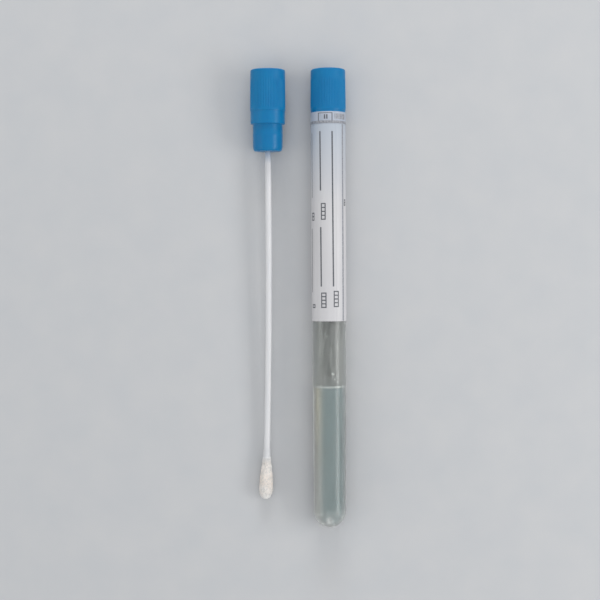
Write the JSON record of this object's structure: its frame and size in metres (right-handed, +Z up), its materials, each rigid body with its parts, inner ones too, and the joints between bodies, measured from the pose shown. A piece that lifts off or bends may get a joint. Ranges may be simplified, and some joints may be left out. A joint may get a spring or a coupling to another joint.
{
  "type": "specimen swab tube",
  "caption": "Swab set lying flat: a translucent round-ended tube with gel, film label and push-in cap, beside its swab, a capped shaft with a wound fibre bud.",
  "frame": {"origin": "on the floor under the middle of the set's bounding box", "axes": "+Y along the tube and the swab, towards their caps; +Z up, away from the floor; +X from the swab to the tube"},
  "size_m": [0.0358, 0.1704, 0.0134],
  "materials": {
    "tube_plastic": "satin",
    "gel": "gloss",
    "cap_plastic": "satin",
    "film": "satin",
    "shaft_plastic": "satin",
    "fibre": "matte"
  },
  "bodies": {
    "set": {"tube": "tube_plastic", "gel_medium": "gel", "name_label": "film", "swab_cap": "cap_plastic", "swab_shaft": "shaft_plastic", "swab_tip": "fibre"},
    "closure": {"tube_cap": "cap_plastic", "seal_band": "film"}
  },
  "joints": [
    {"name": "cap_pull", "type": "slide", "parent": "set", "child": "closure", "axis": [-0.0049, 1, 0.0008], "range_m": [0, 0.03]}
  ]
}
